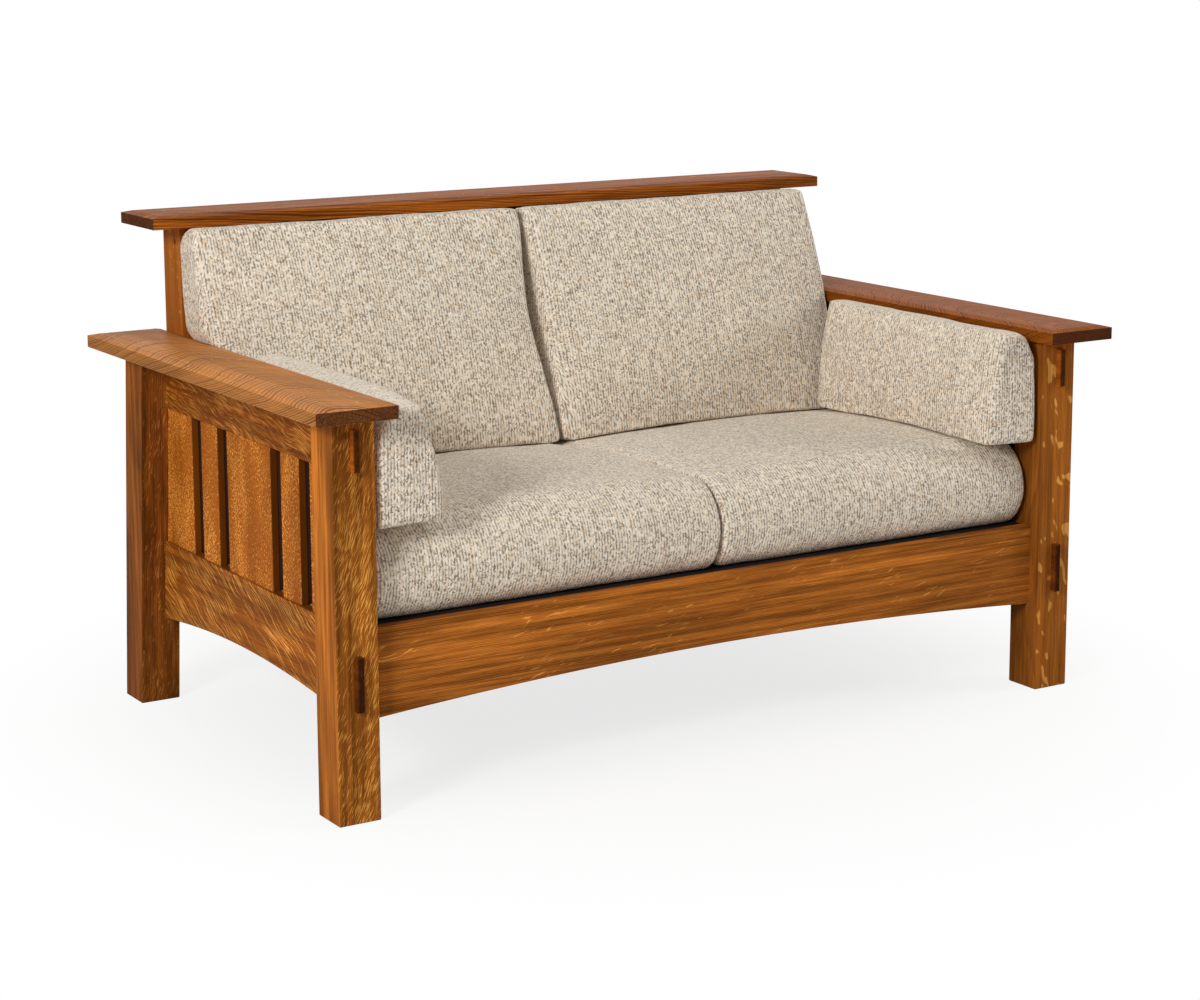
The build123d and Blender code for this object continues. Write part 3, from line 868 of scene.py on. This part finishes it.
def woven_finish(name, colour, stripe, size, edge):
    """A plain woven finish for cloth and straps."""
    material, paint, shader = new_material(name)
    place = paint.add("TexCoord").outputs["Object"]
    across, along, _ = paint.parts(place)
    waves = []
    for way, other in ((across, along), (along, across)):
        steps = paint.ratio(way, size)
        row = paint.floor(paint.ratio(other, size))
        shift = paint.scaled(row, math.pi, paint.product(steps, math.pi))
        waves.append(paint.scaled(paint.work("SINE", shift), 0.5, 0.5))
    weave = paint.work("MAXIMUM", *waves)
    slub = paint.ramp(paint.mottle(place, (340, 340, 340), 2), 0.25, 0.75, 0.7, 1.15)
    level = paint.product(paint.ramp(weave, 0.3, 1, 0.5, 1), slub)
    patches = paint.ramp(paint.mottle(place, (12, 12, 12)), 0.35, 0.65, 0, edge)
    paint.feed_all(shader.inputs, {
        "Base Color": paint.dimmed(paint.mix(patches, colour, stripe), level),
        "Normal": bump(paint, weave, size * 0.4, 0.6),
        "Roughness": 0.95, "Specular IOR Level": 0.15,
    })
    return material


def grid_piece(name, low, high, columns, rows):
    """A fine flat grid between two corners, its place kept in its mesh."""
    deselect()
    bpy.ops.mesh.primitive_grid_add(x_subdivisions=columns, y_subdivisions=rows, size=1)
    piece = bpy.context.object
    piece.name = piece.data.name = name
    low, high = np.array(low), np.array(high)
    move_to(piece, low + (points_of(piece) + (0.5, 0.5, 0)) * (high - low) * (1, 1, 0))
    return piece


CLOTH_GRID, STRAP_CUTS = (90, 40), (6, 120)  # cloth across and along; a strap across and along
CLOTH_RISE = 0.0004  # height of the cloth's slow waves, a little under its solid's top
CLOTH_THICK, STRAP_THICK, STRAP_WIDTH, STRAP_RISE = 0.0007, 0.0008, 0.06, 0.0005


def make_deck_cloth():
    """The dark cloth stretched over the webbing."""
    low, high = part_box("deck_cloth")
    piece = grid_piece("deck_cloth_sheet", low, high, *CLOTH_GRID)
    points = points_of(piece)
    sag = np.array([noise.noise(Vector((p[0] * 9, p[1] * 9, 1.5))) for p in points])
    points[:, 2] = high.z - 0.0005 + CLOTH_RISE * np.clip(sag, -1, 1)
    move_to(piece, points)
    finish_with(piece, "SOLIDIFY", thickness=CLOTH_THICK, offset=-1)
    worn = (0.03, 0.03, 0.032)
    cloth = tuple(settings().deck.cloth)
    paint_piece(piece, woven_finish("deck_cloth_weave", cloth, worn, 0.0014, 0.5))
    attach(piece, "frame")
    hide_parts("deck_cloth")


def make_webbing():
    """Straps that pass over and under each other beneath the cloth."""
    chosen = settings().deck
    jute = woven_finish("jute_webbing", tuple(chosen.jute), tuple(chosen.stripe), 0.0022, 0.35)
    layers = (("lengthwise", 8), ("crosswise", 4))
    boxes = [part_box(word + "_webbing") for word, _ in layers]
    middle = (boxes[0][0].z + boxes[1][1].z) / 2
    for axis, (word, count) in enumerate(layers):
        along = 1 - axis
        (low, high), other = boxes[axis], boxes[along]
        pitch = (high[axis] - low[axis] - STRAP_WIDTH) / (count - 1)
        crossing = (other[1][along] - other[0][along] - STRAP_WIDTH) / (layers[along][1] - 1)
        start = other[0][along] + STRAP_WIDTH / 2
        straps = []
        for number in range(count):
            near, far = [low.x, low.y, middle], [high.x, high.y, middle]
            near[axis] = low[axis] + pitch * number
            far[axis] = near[axis] + STRAP_WIDTH
            cuts = STRAP_CUTS if along else STRAP_CUTS[::-1]
            strap = grid_piece(f"{word}_strap_{number}", near, far, *cuts)
            points = points_of(strap)
            turn = (points[:, along] - start) / crossing + number + axis
            points[:, 2] = middle + STRAP_RISE * np.cos(turn * math.pi)
            move_to(strap, points)
            straps.append(strap)
        pick(straps[0])
        for strap in straps:
            strap.select_set(True)
        bpy.ops.object.join()
        piece = bpy.context.object
        piece.name = piece.data.name = word + "_straps"
        finish_with(piece, "SOLIDIFY", thickness=STRAP_THICK, offset=0)
        paint_piece(piece, jute)
        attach(piece, "frame")
        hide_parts(word + "_webbing")


def steel_finish():
    """Blackened steel with worn patches for the sunk screws."""
    material, paint, shader = new_material("blackened_steel")
    place = paint.add("TexCoord").outputs["Object"]
    worn = paint.ramp(paint.mottle(place, (900, 900, 900), 3), 0.45, 0.7)
    steel = tuple(settings().deck.steel)
    paint.feed_all(shader.inputs, {
        "Base Color": paint.mix(worn, steel, (0.16, 0.15, 0.14)),
        "Roughness": paint.ramp(worn, 0, 1, 0.5, 0.35),
        "Normal": bump(paint, worn, 0.0001, 0.4), "Metallic": 0.9,
    })
    return material


# The studio

CAMERA_PLACE = (-2.5827, -4.1575, 1.4352)
CAMERA_TURNS = (31.835, -10.132, -0.214)  # yaw, pitch and roll in degrees
LENS = {"lens": 80.047, "sensor_width": 36, "shift_y": -0.0833, "clip_end": 200}

# Each lamp's place, what it is turned to and its size; its power is in the settings
LAMPS = {
    "key": ((-4.8, -2.6, 2.7), (0, 0, 0.45), 1.2),
    "right": ((4.6, -2.4, 2.3), (0, 0, 0.45), 1.5),
    "top": ((0, -0.4, 4.2), (0, 0, 0), 3.0),
}


def place_camera():
    """The camera at the photograph's angle."""
    yaw, pitch, roll = (math.radians(value) for value in CAMERA_TURNS)
    flat = math.cos(pitch)
    ahead = Vector((math.sin(yaw) * flat, math.cos(yaw) * flat, math.sin(pitch)))
    right = Vector((math.cos(yaw), -math.sin(yaw), 0))
    up = right.cross(ahead)
    level = right * math.cos(roll) + up * math.sin(roll)
    upright = up * math.cos(roll) - right * math.sin(roll)
    lens = bpy.data.cameras.new("camera")
    set_all(lens, LENS)
    holder = bpy.data.objects.new("camera", lens)
    link(holder)
    turn = Matrix((level, upright, -ahead)).transposed().to_4x4()
    holder.matrix_world = Matrix.Translation(CAMERA_PLACE) @ turn
    bpy.context.scene.camera = holder


def place_lamp(name, place, aim, size, power):
    """A soft square lamp that shines on the settle."""
    lamp = bpy.data.lights.new(name, "AREA")
    lamp.shape = "SQUARE"
    lamp.size = size
    lamp.energy = power
    holder = bpy.data.objects.new(name, lamp)
    link(holder)
    turn = (Vector(aim) - Vector(place)).to_track_quat("-Z", "Y").to_matrix().to_4x4()
    holder.matrix_world = Matrix.Translation(place) @ turn


def make_floor():
    """A wide pale floor that takes the shadow and fades to white away from the settle."""
    chosen = settings().studio
    deselect()
    bpy.ops.mesh.primitive_circle_add(vertices=96, radius=chosen.floor_radius, fill_type="NGON")
    floor = bpy.context.object
    floor.name = floor.data.name = "floor"
    material = bpy.data.materials.new("pale_floor")
    material.use_nodes = True
    paint = Shading(material.node_tree)
    place = paint.add("TexCoord").outputs["Object"]
    away = paint.add("VectorMath", {0: place}, operation="LENGTH").outputs["Value"]
    speckle = paint.ramp(paint.mottle(place, (1.3, 1.3, 1.3)), 0.3, 0.7, 0.985, 1)
    colour = paint.dimmed(tuple(chosen.floor), speckle)
    plain = paint.add("BsdfDiffuse", {"Color": colour}).outputs[0]
    white = paint.add("Emission", {"Color": (1, 1, 1), "Strength": 1}).outputs[0]
    camera = paint.add("LightPath").outputs["Is Camera Ray"]
    fade = paint.product(paint.ramp(away, 0.45, 1.3, 0.78, 1), camera)
    both = paint.add("MixShader", {0: fade, 1: plain, 2: white}).outputs[0]
    paint.add("OutputMaterial", {"Surface": both})
    paint_piece(floor, material)


def make_world():
    """Even light from all round, white to the camera, reflections and clear surfaces."""
    world = bpy.data.worlds.new("surroundings")
    bpy.context.scene.world = world
    world.use_nodes = True
    paint = Shading(world.node_tree)
    path = paint.add("LightPath").outputs
    seen = path["Is Camera Ray"]
    for ray in ("Is Glossy Ray", "Is Transmission Ray"):
        seen = paint.work("MAXIMUM", seen, path[ray])
    lit = paint.add("Background", {"Color": (1, 0.945, 0.87),
                                   "Strength": settings().studio.around}).outputs[0]
    white = paint.add("Background", {"Color": (1, 1, 1), "Strength": 1}).outputs[0]
    both = paint.add("MixShader", {0: seen, 1: lit, 2: white}).outputs[0]
    paint.add("OutputWorld", {"Surface": both})


# Operators, the panel and the run

class Step:
    """What the operators share."""

    def execute(self, context):
        self.make()
        return {"FINISHED"}


class SETTLE_OT_boards(Step, bpy.types.Operator):
    """Stain every board, each with a figure of its own"""
    bl_idname = "settle.boards"
    bl_label = "Oak boards"

    def make(self):
        number = 0
        for node in sorted(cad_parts):
            kinds = [row for row in BOARDS if node.startswith(row[0])]
            if kinds:
                number += 1
                finish = board_finish(node, kinds[0][1], kinds[0][2], number)
                paint_piece(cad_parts[node], finish)


class SETTLE_OT_seat_cushions(Step, bpy.types.Operator):
    """Make the two seat cushions"""
    bl_idname = "settle.seat_cushions"
    bl_label = "Seat cushions"

    def make(self):
        make_cushions("seat_cushion")


class SETTLE_OT_back_cushions(Step, bpy.types.Operator):
    """Make the two back cushions"""
    bl_idname = "settle.back_cushions"
    bl_label = "Back cushions"

    def make(self):
        make_cushions("back_cushion")


class SETTLE_OT_bolsters(Step, bpy.types.Operator):
    """Make the two wedge-shaped arm bolsters"""
    bl_idname = "settle.bolsters"
    bl_label = "Arm bolsters"

    def make(self):
        make_cushions("bolster")


class SETTLE_OT_deck(Step, bpy.types.Operator):
    """Weave the webbing and stretch the cloth over it"""
    bl_idname = "settle.deck"
    bl_label = "Seat deck"

    def make(self):
        make_webbing()
        make_deck_cloth()


class SETTLE_OT_screws(Step, bpy.types.Operator):
    """Finish the sunk screws of the back"""
    bl_idname = "settle.screws"
    bl_label = "Screws"

    def make(self):
        paint_piece(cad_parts["stile_screws"], steel_finish())


class SETTLE_OT_studio(Step, bpy.types.Operator):
    """Set up the floor, the lamps, the surroundings and the camera"""
    bl_idname = "settle.studio"
    bl_label = "Studio"

    def make(self):
        bpy.context.scene.view_settings.view_transform = "Standard"
        make_floor()
        make_world()
        for name, facts in LAMPS.items():
            place_lamp(name + "_lamp", *facts, getattr(settings().studio, name))
        place_camera()


class SETTLE_PT_panel(bpy.types.Panel):
    """Lists the steps and the settings"""
    bl_idname = "SETTLE_PT_panel"
    bl_label = "Oak settle"
    bl_space_type = "VIEW_3D"
    bl_region_type = "UI"
    bl_category = "Oak settle"

    def draw(self, context):
        for operator in OPERATORS:
            self.layout.operator(operator.bl_idname)
        for group in SettleSettings.__annotations__:
            box = self.layout.box()
            box.label(text=group.capitalize())
            chosen = getattr(context.scene.oak_settle, group)
            for name in chosen.bl_rna.properties.keys():
                if name not in ("rna_type", "name"):
                    box.prop(chosen, name)


OPERATORS = (
    SETTLE_OT_boards, SETTLE_OT_seat_cushions, SETTLE_OT_back_cushions, SETTLE_OT_bolsters,
    SETTLE_OT_deck, SETTLE_OT_screws, SETTLE_OT_studio,
)
CLASSES = (
    OakSettings, FabricSettings, CushionSettings, DeckSettings, StudioSettings, SettleSettings,
    *OPERATORS, SETTLE_PT_panel,
)


def register():
    for kind in CLASSES:
        bpy.utils.register_class(kind)
    bpy.types.Scene.oak_settle = PointerProperty(type=SettleSettings)


def unregister():
    del bpy.types.Scene.oak_settle
    for kind in reversed(CLASSES):
        bpy.utils.unregister_class(kind)


def main():
    """Builds everything in order."""
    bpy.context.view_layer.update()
    register()
    bpy.ops.settle.studio()
    bpy.ops.settle.boards()
    bpy.ops.settle.seat_cushions()
    bpy.ops.settle.back_cushions()
    bpy.ops.settle.bolsters()
    bpy.ops.settle.deck()
    bpy.ops.settle.screws()


if __name__ == "__main__":
    main()
